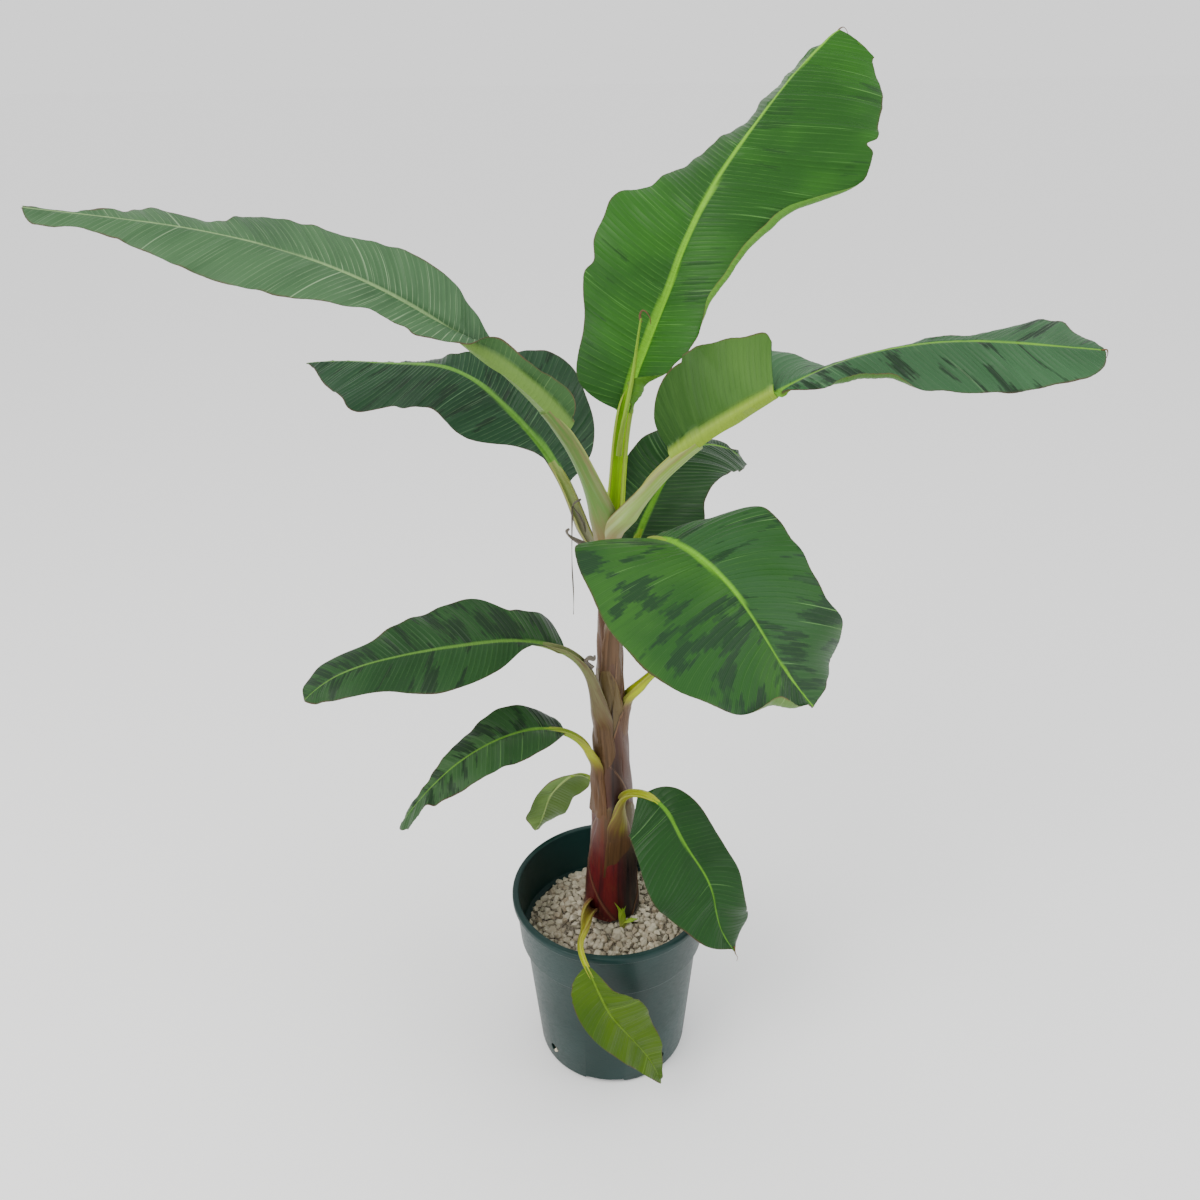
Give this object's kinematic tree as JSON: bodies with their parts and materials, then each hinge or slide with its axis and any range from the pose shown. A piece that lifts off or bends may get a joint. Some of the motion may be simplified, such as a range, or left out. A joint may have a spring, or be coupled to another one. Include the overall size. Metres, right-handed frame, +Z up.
{
  "type": "potted banana plant",
  "caption": "Young banana plant: broad arching leaves on petioles from one slender stem, in a round nursery pot topped with pumice gravel.",
  "frame": {"origin": "centre of the pot's flat underside, on the surface it stands on", "axes": "+Z up along the pot's axis, the longest leaves reach out along -X and +X, and -Y is the side of the short leaf that hangs over the pot's rim"},
  "size_m": [0.9733, 0.5707, 1.2295],
  "materials": {
    "pot_plastic": "satin",
    "potting_mix": "matte",
    "pumice": "matte",
    "stem": "satin",
    "petiole": "satin",
    "leaf": "satin",
    "new_leaf": "satin"
  },
  "bodies": {
    "root": {"pot": "pot_plastic", "potting_mix": "potting_mix", "pumice_topping": "pumice", "stem": "stem", "back_small_leaf_petiole": "petiole", "basal_leaf_petiole": "petiole", "front_right_leaf_petiole": "petiole", "left_back_leaf_petiole": "petiole", "left_long_leaf_petiole": "petiole", "left_low_leaf_petiole": "petiole", "left_mid_leaf_petiole": "petiole", "right_back_leaf_petiole": "petiole", "right_long_leaf_petiole": "petiole", "right_low_leaf_petiole": "petiole", "right_mid_leaf_petiole": "petiole", "top_leaf_petiole": "petiole", "back_small_leaf_blade": "leaf", "basal_leaf_blade": "leaf", "front_right_leaf_blade": "leaf", "left_back_leaf_blade": "leaf", "left_long_leaf_blade": "leaf", "left_low_leaf_blade": "leaf", "left_mid_leaf_blade": "leaf", "right_back_leaf_blade": "leaf", "right_long_leaf_blade": "leaf", "right_low_leaf_blade": "leaf", "right_mid_leaf_blade": "leaf", "top_leaf_blade": "leaf", "new_leaf_spear": "new_leaf", "basal_shoot": "petiole"}
  },
  "joints": []
}
